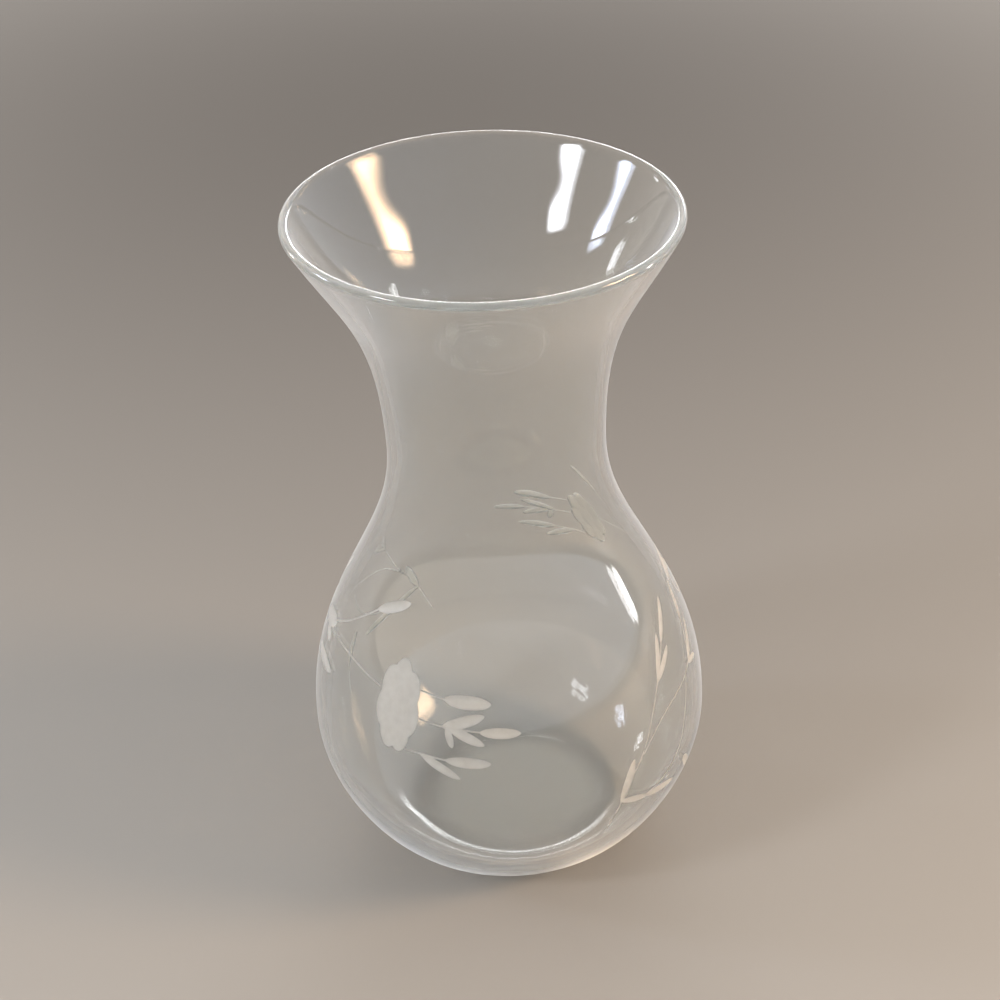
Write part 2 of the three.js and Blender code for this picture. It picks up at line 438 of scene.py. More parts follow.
@dataclass(frozen=True)
class VaseForm:
    """The vase's wall as it was blown, in millimetres.

    It has a flat foot, a round bowl, a drawn-in neck, a flare and a rounded lip. A fullness is how far a
    curve holds its end's direction, as a share of its span.
    """

    height: float
    bowl_radius: float
    mouth_radius: float = 51.0
    neck_radius: float = 29.8
    neck_height: float = 133.0
    bowl_height: float = 42.5
    foot_radius: float = 28.0
    foot_hollow: float = 0.4
    floor_radius: float = 27.0
    floor_thickness: float = 3.5
    wall: float = 2.6
    lip_lean: float = 28.0
    heel_fullness: float = 0.5
    belly_fullness: float = 0.4
    shoulder_fullness: float = 0.45
    throat_fullness: float = 0.36
    flare_fullness: float = 0.57
    lip_fullness: float = 0.38
    curve_points: int = 1200

    @classmethod
    def from_frame(cls) -> "VaseForm":
        """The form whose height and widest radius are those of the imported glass."""
        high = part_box("glass_body")[1]
        return cls(height=high.z / MM, bowl_radius=high.x / MM)

    def curve(self, handles: np.ndarray) -> np.ndarray:
        """Closely spaced points of one of the outline's curves."""
        return bezier(handles, np.linspace(0, 1, self.curve_points))

    def belly(self, flat_radius: float, flat_height: float, wide_radius: float) -> np.ndarray:
        """The curve from a flat face, which it leaves level, to the widest line, which it meets upright.

        Args:
            flat_radius: the flat face's radius.
            flat_height: the flat face's height.
            wide_radius: the radius at the widest line.

        Returns:
            Points as radius and height.
        """
        heel = self.heel_fullness * (wide_radius - flat_radius)
        rise = self.belly_fullness * (self.bowl_height - flat_height)
        start = np.array([flat_radius, flat_height])
        end = np.array([wide_radius, self.bowl_height])
        return self.curve(np.array([start, start + (heel, 0), end - (0, rise), end]))

    @cached_property
    def shoulder(self) -> np.ndarray:
        """The curve from the widest line in to the neck, upright at both ends."""
        span = self.neck_height - self.bowl_height
        wide = np.array([self.bowl_radius, self.bowl_height])
        neck = np.array([self.neck_radius, self.neck_height])
        full, drawn = self.shoulder_fullness * span, self.throat_fullness * span
        return self.curve(np.array([wide, wide + (0, full), neck - (0, drawn), neck]))

    @cached_property
    def lip_axes(self) -> tuple[np.ndarray, np.ndarray]:
        """Unit directions of the leaning lip: along the wall, and out across it."""
        lean = np.radians(self.lip_lean)
        return np.array([np.sin(lean), np.cos(lean)]), np.array([np.cos(lean), -np.sin(lean)])

    @cached_property
    def lip_centre(self) -> np.ndarray:
        """The middle of the half-round lip, half a wall in from the mouth's edge and from the top."""
        return np.array([self.mouth_radius, self.height]) - self.wall / 2

    @cached_property
    def flare(self) -> np.ndarray:
        """The curve from the neck, upright, out to the lip, along the lip's lean."""
        along, across = self.lip_axes
        edge = self.lip_centre + across * self.wall / 2
        span = edge[1] - self.neck_height
        neck = np.array([self.neck_radius, self.neck_height])
        rising = neck + (0, self.flare_fullness * span)
        leaning = edge - along * self.lip_fullness * span
        return self.curve(np.array([neck, rising, leaning, edge]))

    def lip(self, steps: int) -> np.ndarray:
        """The half-round lip from outside to inside: half a wall from its centre, all through a half turn.

        Args:
            steps: how many steps the half turn has.

        Returns:
            Points as radius and height.
        """
        along, across = self.lip_axes
        turn = np.linspace(0, np.pi, steps + 1)[:, None]
        return self.lip_centre + self.wall / 2 * (across * np.cos(turn) + along * np.sin(turn))

    @cached_property
    def outside(self) -> np.ndarray:
        """The outside of the wall from the foot's edge to the lip, closely spaced."""
        low = self.belly(self.foot_radius, 0, self.bowl_radius)
        return np.vstack([low[:-1], self.shoulder[:-1], self.flare])

    @cached_property
    def outside_normal(self) -> np.ndarray:
        """The outside's unit normals."""
        return outward(self.outside)

    @cached_property
    def inside(self) -> np.ndarray:
        """The inside of the wall from the floor to the lip: one wall in from the outside, above the belly."""
        low = self.belly(self.floor_radius, self.floor_thickness, self.bowl_radius - self.wall)
        above = np.vstack([self.shoulder[:-1], self.flare])
        return np.vstack([low[:-1], above - self.wall * outward(above)])

    def stretch(self, low: float, high: float, step: float) -> np.ndarray:
        """Evenly spaced points of the outside between two heights, both ends among them.

        Args:
            low: the lower height.
            high: the upper height.
            step: about how far apart the points are.

        Returns:
            Points as radius and height.
        """
        line = self.outside
        ends = np.interp([low, high], line[:, 1], line[:, 0])
        between = line[(line[:, 1] > low) & (line[:, 1] < high)]
        return spaced(np.vstack([[(ends[0], low)], between, [(ends[1], high)]]), step)

    @cached_property
    def spread(self) -> np.ndarray:
        """How far out each point of the outside lies on the flat map, as a logarithm: the sum of ds / r."""
        radius, step = self.outside[:, 0], np.diff(run_along(self.outside))
        return np.concatenate([[0], np.cumsum(step * 2 / (radius[1:] + radius[:-1]))])

    def to_map(self, place: np.ndarray) -> np.ndarray:
        """Places on the wall, as angle and height, on a flat map of rings that keeps their shapes."""
        out = np.exp(np.interp(place[:, 1], self.outside[:, 1], self.spread))
        return np.column_stack([out * np.cos(place[:, 0]), out * np.sin(place[:, 0])])

    def from_map(self, flat: np.ndarray) -> np.ndarray:
        """Angles and heights on the wall of points on the flat map."""
        height = np.interp(np.log(np.hypot(*flat.T)), self.spread, self.outside[:, 1])
        return np.column_stack([np.arctan2(flat[:, 1], flat[:, 0]), height])

    def on_wall(self, place: np.ndarray, depth: np.ndarray | float = 0.0) -> np.ndarray:
        """Points on the outside of the wall, moved in along its normal.

        The outline gives radius r and normal n at each height. The point is the outline's, less depth times
        n, at its angle: x = r sin a, y = -r cos a.

        Args:
            place: rows of angle from the front, in radians, and height.
            depth: how far below the surface each point lies.

        Returns:
            Rows of three numbers.
        """
        angle, height = place[..., 0], place[..., 1]
        radii, heights = self.outside.T
        across, rise = self.outside_normal.T
        radius = np.interp(height, heights, radii) - depth * np.interp(height, heights, across)
        level = height - depth * np.interp(height, heights, rise)
        return np.stack([radius * np.sin(angle), -radius * np.cos(angle), level], axis=-1)

    def place_of(self, point: np.ndarray) -> np.ndarray:
        """Angles and heights of points near the wall."""
        return np.stack([np.arctan2(point[..., 0], -point[..., 1]), point[..., 2]], axis=-1)

    def out_of_wall(self, place: np.ndarray) -> np.ndarray:
        """Unit normals of the outside of the wall at places on it.

        Args:
            place: rows of angle from the front, in radians, and height.

        Returns:
            Rows of three numbers.
        """
        angle, height = place[..., 0], place[..., 1]
        across = np.interp(height, self.outside[:, 1], self.outside_normal[:, 0])
        rise = np.interp(height, self.outside[:, 1], self.outside_normal[:, 1])
        return np.stack([across * np.sin(angle), -across * np.cos(angle), rise], axis=-1)


# The ground decoration


@dataclass(frozen=True)
class WheelCut:
    """One hollow that the wheel left: its motif, its edge and inner points, and how its depth runs.

    The hollow lies about a middle line, or a middle point for a petal, and its half width there is known. A
    petal's distances are measured after the flower's height is squeezed to its width, so that it is round.
    """

    motif: str
    edge: np.ndarray
    inner: np.ndarray
    middle: np.ndarray
    half_width: np.ndarray
    slope: float
    squeeze: np.ndarray

    def away(self, point: np.ndarray) -> tuple[np.ndarray, np.ndarray]:
        """Distances of points on the wall from the middle line, and the half width at its nearest point.

        Args:
            point: points on the wall.

        Returns:
            The distances and half widths.
        """
        gap = np.linalg.norm((point[:, None] - self.middle[None]) @ self.squeeze, axis=-1)
        nearest = gap.argmin(axis=1)
        return gap[np.arange(len(gap)), nearest], self.half_width[nearest]

    def depth(self, point: np.ndarray) -> np.ndarray:
        """Depths at points on the wall: k w (1 - (d / w)^2), a distance d from a middle of half width w."""
        gap, width = self.away(point)
        return self.slope * width * np.maximum(1 - (gap / np.maximum(width, 1e-6)) ** 2, 0)

    def is_near(self, point: np.ndarray, room: float = 0.0) -> np.ndarray:
        """Whether points on the wall lie in the hollow, or within some room of it.

        Args:
            point: points on the wall.
            room: how far outside the hollow's edge still counts.

        Returns:
            True or false for each point.
        """
        low, high = self.edge.min(axis=0) - room, self.edge.max(axis=0) + room
        near = np.all((point > low) & (point < high), axis=1)
        gap, width = self.away(point[near])
        near[near] = gap < width + room
        return near


@dataclass(frozen=True)
class Stroke:
    """One pass of the wheel, through places as degrees right of the flower and millimetres above the base."""

    wheel: Wheel
    half_width: float
    places: tuple[tuple[float, float], ...]

    def route(self, share: np.ndarray) -> np.ndarray:
        """Places along a Catmull-Rom curve through the stroke's own places.

        Between P1 and P2, with v0 = (P2-P0)/2 and v1 = (P3-P1)/2, the curve is
        (2 P1 - 2 P2 + v0 + v1) t^3 + (3 P2 - 3 P1 - 2 v0 - v1) t^2 + v0 t + P1.

        Args:
            share: how far along the stroke, from 0 to 1.

        Returns:
            Rows of degrees and millimetres.
        """
        points = np.array(self.places, float)
        padded = np.vstack([points[:1], points, points[-1:]])
        along = np.clip(share, 0, 1) * (len(points) - 1)
        span = np.minimum(along.astype(int), len(points) - 2)
        t = (along - span)[:, None]
        p0, p1, p2, p3 = (padded[span + i] for i in range(4))
        v0, v1 = (p2 - p0) / 2, (p3 - p1) / 2
        return (2 * p1 - 2 * p2 + v0 + v1) * t**3 + (3 * p2 - 3 * p1 - 2 * v0 - v1) * t**2 + v0 * t + p1

    def swell(self, share: np.ndarray) -> np.ndarray:
        """The stroke's half width along its length."""
        power = {Wheel.LEAF: 0.8, Wheel.STEM: 0.15}[self.wheel]
        return self.half_width * np.maximum(4 * share * (1 - share), 0) ** power


def stem(*places: tuple[float, float]) -> Stroke:
    """A thin stroke of even width."""
    return Stroke(Wheel.STEM, 0.3, places)


def leaf(half_width: float, start: tuple[float, float], end: tuple[float, float]) -> Stroke:
    """A stroke that swells from a point and comes to a point."""
    return Stroke(Wheel.LEAF, half_width, (start, end))


@dataclass(frozen=True)
class Spray:
    """One spray of the decoration: a flower with leaf sprigs, its stem, a tall spray of ears and a low leaf.

    A slope is a hollow's depth as a share of its half width, and a station is the step along a stroke.
    """

    form: VaseForm
    side: str
    turn: float = 0.0
    lift: float = 0.0
    flower_angle: float = -37.0
    flower_rise: float = 31.6
    flower_half_width: float = 7.2
    flower_half_height: float = 14.0
    petals: int = 7
    petal_centre: float = 0.56
    petal_size: float = 0.44
    heart_size: float = 0.62
    petal_slope: float = 0.07
    leaf_slope: float = 0.2
    stem_slope: float = 0.5
    station: float = 0.7
    least_stations: int = 12
    middle_points: int = 90
    tangent_share: float = 0.01
    leaf_lanes: tuple[float, ...] = (-0.7, -0.36, 0, 0.36, 0.7)
    stem_lanes: tuple[float, ...] = (0,)
    petal_points: int = 44
    petal_rings: int = 7
    petal_reach: tuple[float, float] = (0.06, 0.9)

    @property
    def axis(self) -> float:
        """The flower's angle round the vase, in radians."""
        return np.radians(self.flower_angle + self.turn)

    @property
    def base(self) -> float:
        """The height that the spray's places are measured from."""
        return self.form.bowl_height + self.lift

    @cached_property
    def flower_frame(self) -> tuple[np.ndarray, np.ndarray, np.ndarray, np.ndarray]:
        """The flower's centre on the wall, and the directions right along the wall, up it and out of it."""
        place = np.array([self.axis, self.base + self.flower_rise])
        right = np.array([np.cos(self.axis), np.sin(self.axis), 0.0])
        out = self.form.out_of_wall(place)
        return self.form.on_wall(place), right, np.cross(out, right), out

    def on_flower(self, across: np.ndarray, up_it: np.ndarray) -> np.ndarray:
        """Points on the wall beside the flower's centre.

        Args:
            across: how far right of it, as shares of the flower's half width.
            up_it: how far above it, as shares of the flower's half height.

        Returns:
            Rows of three numbers.
        """
        centre, right, up, _ = self.flower_frame
        x, y = across * self.flower_half_width, up_it * self.flower_half_height
        flat = centre + np.multiply.outer(x, right) + np.multiply.outer(y, up)
        return self.form.on_wall(self.form.place_of(flat))

    def beside_flower(self, degrees: float) -> tuple[float, float]:
        """The place on the flower's edge where a stem starts.

        Args:
            degrees: the angle round the flower, from its right.

        Returns:
            Degrees right of the flower, and millimetres above the base.
        """
        turn = np.radians(degrees)
        angle, height = self.form.place_of(self.on_flower(np.cos(turn), np.sin(turn)))
        nearest = (angle - self.axis + np.pi) % (2 * np.pi) - np.pi
        return float(np.degrees(nearest)), float(height - self.base)

    def motifs(self) -> dict[str, list[Stroke]]:
        """The strokes of every motif but the flower.

        Returns:
            Lists of strokes, by the motif's name.
        """
        return {
            "upper_sprig": [
                stem(self.beside_flower(29), (16, 37.1), (17.5, 37.05)),
                leaf(2.1, (15.5, 37.1), (30.7, 36.8)),
            ],
            "middle_sprig": [
                stem(self.beside_flower(-5), (15, 29.9), (21.6, 29.7), (28.5, 29.4)),
                leaf(1.6, (27, 29.4), (39.4, 29.1)),
                leaf(1.7, (15.5, 29.7), (28.6, 33.8)),
                leaf(1.5, (17.5, 30), (28.5, 25.8)),
                leaf(1.1, (17, 30), (19, 24.3)),
            ],
            "lower_sprig": [
                stem(self.beside_flower(-56), (9.8, 20.8), (17.7, 20.5), (19, 20.5)),
                leaf(1.7, (17, 20.5), (30.4, 20.6)),
                leaf(1.4, (9.3, 21), (21.5, 15.3)),
            ],
            "flower_stem": [
                stem(self.beside_flower(166), (-20.8, 36.1), (-32.4, 36.2), (-49, 34.6)),
                leaf(2.6, (-41, 37.6), (-57, 33.2)),
                leaf(1.5, (-50, 34.2), (-41.5, 31.4)),
                stem((-45.5, 36.4), (-35.3, 41.5), (-29.6, 44.9), (-18.5, 52), (-17, 52.6)),
                leaf(1.6, (-19.2, 51.7), (-3.6, 57.7)),
                stem((-50, 35), (-53.5, 30), (-52, 26.2), (-49.5, 25.3)),
                leaf(2, (-51.5, 25), (-33.8, 26.1)),
            ],
            "wheat_spray": [
                stem((62.6, -12.6), (67.9, -0.6), (73.5, 8), (85.9, 17.8), (103.6, 21.6), (108.5, 23.4)),
                leaf(1.5, (67.4, -1.4), (73, 11.4)),
                leaf(1.2, (67.3, -0.8), (77.6, -4.9)),
                stem((73.2, 7.5), (78.3, 14.6), (82.8, 21.6), (88.4, 28.6), (93.2, 33.2), (97.2, 36.8)),
                leaf(1, (88, 28), (95.8, 39.2)),
                leaf(1.1, (88, 28.1), (98.8, 34)),
                leaf(1.1, (96, 35.9), (107.3, 45)),
                stem((108, 23), (111.5, 28.5), (115, 34)),
                leaf(1.2, (107.5, 22), (118, 31.1)),
                leaf(1.3, (114, 32.6), (121.4, 42.5)),
                leaf(1.1, (107.2, 22.8), (114.7, 20.6)),
                stem((75.8, -4.2), (85.5, -2), (93, 3.8), (97.6, 11.7), (103.5, 21.7)),
                leaf(1.5, (76.2, -4.2), (90.6, -8)),
            ],
            "low_leaf": [
                stem((107, -19.8), (104, -15), (101.6, -11)),
                leaf(1.6, (102.8, -12.5), (95.2, -2.7)),
            ],
        }

    def middle_line(self, stroke: Stroke, share: np.ndarray) -> np.ndarray:
        """Points on the wall along a stroke's middle, at shares of its length."""
        degrees, rise = stroke.route(share).T
        return self.form.on_wall(np.column_stack([self.axis + np.radians(degrees), self.base + rise]))

    def stroke_cut(self, motif: str, stroke: Stroke) -> WheelCut:
        """A stroke's hollow: its half width set off to both sides of its middle, square to it on the wall.

        Args:
            motif: the motif that the stroke belongs to.
            stroke: the stroke.

        Returns:
            The hollow.
        """
        fine = np.linspace(0, 1, self.middle_points)
        line = self.middle_line(stroke, fine)
        count = max(self.least_stations, int(np.ceil(run_along(line)[-1] / self.station)))
        share = (1 - np.cos(np.linspace(0, np.pi, count + 1))) / 2
        centre = self.middle_line(stroke, share)
        ahead = self.middle_line(stroke, share + self.tangent_share)
        along = ahead - self.middle_line(stroke, share - self.tangent_share)
        along /= np.linalg.norm(along, axis=1, keepdims=True)
        sideways = np.cross(self.form.out_of_wall(self.form.place_of(centre)), along)
        width = stroke.swell(share)[:, None]
        left, right = centre + sideways * width, centre - sideways * width
        edge = np.vstack([left[:-1], centre[-1:], right[-2:0:-1]])
        lanes = {Wheel.LEAF: self.leaf_lanes, Wheel.STEM: self.stem_lanes}[stroke.wheel]
        inner = np.concatenate([(centre + lane * sideways * width)[1:-1] for lane in lanes])
        slope = {Wheel.LEAF: self.leaf_slope, Wheel.STEM: self.stem_slope}[stroke.wheel]
        return WheelCut(motif, edge, inner, line, stroke.swell(fine), slope, np.eye(3))

    def petal_cut(self, across: float, up_it: float, size: float) -> WheelCut:
        """A dish of the flower: round once the flower's height is squeezed to its width.

        Args:
            across: the dish's middle, right of the flower's, as a share of its half width.
            up_it: the dish's middle, above the flower's, as a share of its half height.
            size: the dish's radius, as such a share.

        Returns:
            The hollow.
        """
        turn = np.linspace(2 * np.pi, 0, self.petal_points, endpoint=False)
        edge = self.on_flower(across + size * np.cos(turn), up_it + size * np.sin(turn))
        reach, half = size * np.linspace(*self.petal_reach, self.petal_rings)[:, None], turn[::2]
        inner = self.on_flower(across + reach * np.cos(half), up_it + reach * np.sin(half))
        _, right, up, _ = self.flower_frame
        squeezed = up * self.flower_half_width / self.flower_half_height
        squeeze = np.outer(right, right) + np.outer(squeezed, up)
        middle = self.on_flower(np.array([across]), np.array([up_it]))
        half_width = np.array([size * self.flower_half_width])
        inner = inner.reshape(-1, 3)
        return WheelCut("flower", edge, inner, middle, half_width, self.petal_slope, squeeze)

    def cuts(self) -> list[WheelCut]:
        """Every hollow of the spray: the flower's heart, its petals in a ring from the top, and the strokes.

        Returns:
            The hollows, the flower's first.
        """
        turn = np.radians(90 + 360 / self.petals * np.arange(self.petals))
        ring = self.petal_centre * np.column_stack([np.cos(turn), np.sin(turn)])
        heart = self.petal_cut(0.0, 0.0, self.heart_size)
        petals = [self.petal_cut(across, up_it, self.petal_size) for across, up_it in ring]
        strokes = [
            self.stroke_cut(motif, stroke) for motif, group in self.motifs().items() for stroke in group
        ]
        return [heart, *petals, *strokes]


@dataclass(frozen=True)
class GroundBand:
    """The decorated band of the wall, with every hollow ground into it, and the matt skin that lines each.

    The band's rings have as many points around as the rest of the wall, and room is how clear of a hollow
    they stay. Seat is the gap behind a skin, and soft_edge the depth at which it has its full thickness.
    """

    form: VaseForm
    sprays: tuple[Spray, ...]
    around: int = 208
    low: float = 17.0
    high: float = 113.0
    step: float = 1.3
    room: float = 0.45
    skin: float = 0.12
    seat: float = 0.03
    soft_edge: float = 0.05

    @cached_property
    def rows(self) -> np.ndarray:
        """The band's rings, as radius and height, from its lower edge to its upper edge."""
        return self.form.stretch(self.low, self.high, self.step)

    @cached_property
    def named_cuts(self) -> list[tuple[str, WheelCut]]:
        """Every hollow with the name of the node that it belongs to."""
        return [(f"{cut.motif}_{spray.side}", cut) for spray in self.sprays for cut in spray.cuts()]

    @cached_property
    def triangulation(self) -> tuple[np.ndarray, np.ndarray, np.ndarray]:
        """The band opened out on the flat map and cut into triangles that follow each hollow's edge.

        Returns:
            Places as angle and height, triangles that face out, and each triangle's first hollow, or -1.
        """
        angle = np.linspace(-np.pi, np.pi, self.around, endpoint=False)
        ring = np.stack(np.meshgrid(angle, self.rows[:, 1]), axis=-1)
        open_wall = ring[1:-1].reshape(-1, 2)
        on_wall = self.form.on_wall(open_wall)
        clear = ~np.any([cut.is_near(on_wall, self.room) for _, cut in self.named_cuts], axis=0)
        edges = [self.form.place_of(cut.edge) for _, cut in self.named_cuts]
        inner = [self.form.place_of(cut.inner) for _, cut in self.named_cuts]
        places = np.vstack([ring[0], ring[-1], *edges, open_wall[clear], *inner])
        ends = 2 * self.around + np.cumsum([len(edge) for edge in edges])
        outlines = [list(range(end - len(edge), end)) for edge, end in zip(edges, ends)]
        flat = [Vector(pair) for pair in self.form.to_map(places).tolist()]
        points, _, faces, _, _, sources = delaunay_2d_cdt(flat, [], outlines, 0, 1e-9)
        places, triangles = self.form.from_map(np.array(points)), np.array(faces)[:, ::-1]
        owner = np.array([min(source, default=-1) for source in sources])
        in_band = places[triangles, 1].mean(axis=1) > self.low + ON_EDGE
        return places, triangles[in_band], owner[in_band]

    @cached_property
    def depth(self) -> np.ndarray:
        """How deep the ground surface lies at each place: the deepest of its hollows, or none."""
        places, triangles, owner = self.triangulation
        depth = np.zeros(len(places))
        ground = np.unique(triangles[owner >= 0])
        inner = np.setdiff1d(ground, triangles[owner < 0])
        point = self.form.on_wall(places[inner])
        for _, cut in self.named_cuts:
            near = cut.is_near(point)
            depth[inner[near]] = np.maximum(depth[inner[near]], cut.depth(point[near]))
        return depth

    @property
    def lining(self) -> np.ndarray:
        """How far the skin has come to its full thickness at each place, from 0 at a hollow's edge to 1."""
        return np.clip(self.depth / self.soft_edge, 0, 1)

    def wall_points(self) -> np.ndarray:
        """The glass at each place, ground out to take the skin."""
        return self.form.on_wall(self.triangulation[0], self.depth + (self.skin + self.seat) * self.lining)

    def build(self) -> dict[str, bpy.types.Object]:
        """Each motif's skin: its ground surface and the same surface lower by the skin, joined at the rim.

        A triangle with all three corners on the rim would have no thickness, so it is left to the glass.

        Returns:
            The skins, by the node that each stands for.
        """
        places, triangles, owner = self.triangulation
        names = np.array([name for name, _ in self.named_cuts])
        top = self.form.on_wall(places, self.depth)
        bottom = self.form.on_wall(places, self.depth + self.skin * self.lining)
        pieces = {}
        for name in dict.fromkeys(names):
            own = triangles[(owner >= 0) & (names[owner] == name)]
            rim = rim_pairs(own)
            while np.isin(own, rim).all(axis=1).any():
                own = own[~np.isin(own, rim).all(axis=1)]
                rim = rim_pairs(own)
            used = np.unique(own)
            inner = np.setdiff1d(used, rim)
            upper, lower = np.full(len(places), -1), np.full(len(places), -1)
            upper[used] = lower[used] = np.arange(len(used))
            lower[inner] = len(used) + np.arange(len(inner))
            points = np.vstack([top[used], bottom[inner]])
            faces = upper[own].tolist() + lower[own][:, ::-1].tolist()
            pieces[name] = new_piece(f"ground_{name}", points, faces, upper[rim])
        return pieces

    def dress(self, skins: dict[str, bpy.types.Object], finish: GroundGlass) -> None:
        """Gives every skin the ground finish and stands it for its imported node.

        Args:
            skins: the skins, by the node that each stands for.
            finish: the ground glass.
        """
        material = finish.material()
        for node, skin in skins.items():
            hand_over(skin, material, node)


@dataclass(frozen=True)
class GlassBody:
    """The blown glass as one closed wall, with slow ripples in its thickness, as blowing leaves.

    Each wave of the ripple has so many turns round the wall, millimetres up it for a radian, and a start.
    """

    form: VaseForm
    band: GroundBand
    outer_step: float = 1.4
    inner_step: float = 1.8
    lip_steps: int = 14
    flat_rings: int = 5
    ripple: float = 0.1
    ripple_waves: tuple[tuple[int, float, float], ...] = ((3, 17, 0), (5, -11, 2), (2, 6, 4))
    ripple_ease: float = 8.0

    def outline_below(self) -> np.ndarray:
        """The outline from the foot's hollow middle, of depth h (1 - s^2)^2, to the band's lower edge.

        Returns:
            Points as radius and height.
        """
        share = np.linspace(0, 1, self.flat_rings + 1)[1:-1]
        hollow = self.form.foot_hollow * (1 - share**2) ** 2
        foot = np.column_stack([share * self.form.foot_radius, hollow])
        return np.vstack([foot, self.form.stretch(0, self.band.low, self.outer_step)])

    def outline_above(self) -> tuple[np.ndarray, np.ndarray]:
        """The outline from the band's upper edge, over the lip and down the inside to the floor.

        Returns:
            Rows of radius and height, and the share of the ripple that each row takes.
        """
        form = self.form
        lip = form.lip(self.lip_steps)
        flare = form.stretch(self.band.high, lip[0, 1], self.outer_step)[:-1]
        inside = spaced(form.inside[::-1], self.inner_step)[1:]
        share = np.linspace(1, 0, self.flat_rings + 1)[1:-1]
        floor = np.column_stack([share * form.floor_radius, np.full(len(share), form.floor_thickness)])
        past_lip = np.linspace(0, 1, len(inside))
        takes = np.minimum(1, self.ripple_ease * past_lip) * np.minimum(1, self.ripple_ease * (1 - past_lip))
        rows = np.vstack([flare, lip, inside, floor])
        return rows, np.concatenate([np.zeros(len(flare) + len(lip)), takes, np.zeros(len(floor))])

    def rippled(self, rows: np.ndarray, takes: np.ndarray, angle: np.ndarray) -> np.ndarray:
        """Radii of the turned wall: the outline's, plus the mean of the ripple's waves, sin(n a + z / h + p).

        Args:
            rows: the outline, as radius and height.
            takes: the share of the ripple that each row takes.
            angle: the angles from the front, in radians.

        Returns:
            An array of rows by angles.
        """
        radius, height = rows[:, :1], rows[:, 1:]
        waves = sum(np.sin(turns * angle + height / rise + start) for turns, rise, start in self.ripple_waves)
        return radius + self.ripple / len(self.ripple_waves) * takes[:, None] * waves

    def band_numbers(self, low_ring: np.ndarray, high_ring: np.ndarray, first: int) -> np.ndarray:
        """Vertex numbers of the band's places: those on its edges take the vertices of the rings there.

        Args:
            low_ring: the vertex numbers of the ring at the band's lower edge.
            high_ring: those of the ring at its upper edge.
            first: the number that the band's first own vertex has.

        Returns:
            One number for each place.
        """
        angle, height = self.band.triangulation[0].T
        column = np.round((angle + np.pi) / (2 * np.pi) * len(low_ring)).astype(int) % len(low_ring)
        number = first + np.arange(len(angle))
        number = np.where(height < self.band.low + ON_EDGE, low_ring[column], number)
        return np.where(height > self.band.high - ON_EDGE, high_ring[column], number)

    def build(self) -> bpy.types.Object:
        """The closed wall: both outlines turned round the axis, joined by the band's triangles.

        Returns:
            The glass.
        """
        around = self.band.around
        angle = np.linspace(-np.pi, np.pi, around, endpoint=False)
        below = self.outline_below()
        above, takes = self.outline_above()
        lower = turned(below, np.repeat(below[:, :1], around, axis=1), angle)
        upper = turned(above, self.rippled(above, takes, angle), angle)
        poles = np.array([(0, 0, self.form.foot_hollow), (0, 0, self.form.floor_thickness)])
        points = np.vstack([lower.reshape(-1, 3), upper.reshape(-1, 3), poles, self.band.wall_points()])

        rings = np.arange((len(below) + len(above)) * around).reshape(-1, around)
        low_grid, high_grid = rings[: len(below)], rings[len(below) :]
        foot, floor = rings.size, rings.size + 1
        number = self.band_numbers(low_grid[-1], high_grid[0], floor + 1)
        _, triangles, owner = self.band.triangulation
        faces = [
            ring_quads(low_grid),
            ring_quads(high_grid),
            number[triangles],
            fan(foot, low_grid[0])[:, ::-1],
            fan(floor, high_grid[-1]),
        ]
        used = np.unique(np.concatenate([group.ravel() for group in faces]))
        packed = np.zeros(len(points), int)
        packed[used] = np.arange(len(used))
        lists = [face for group in faces for face in packed[group].tolist()]
        rim = rim_pairs(triangles[owner >= 0])
        return new_piece("glass", points[used], lists, packed[number[rim]])

    def dress(self, glass: bpy.types.Object, finish: BlownGlass) -> None:
        """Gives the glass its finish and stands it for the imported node."""
        hand_over(glass, finish.material(), "glass_body")


# The studio


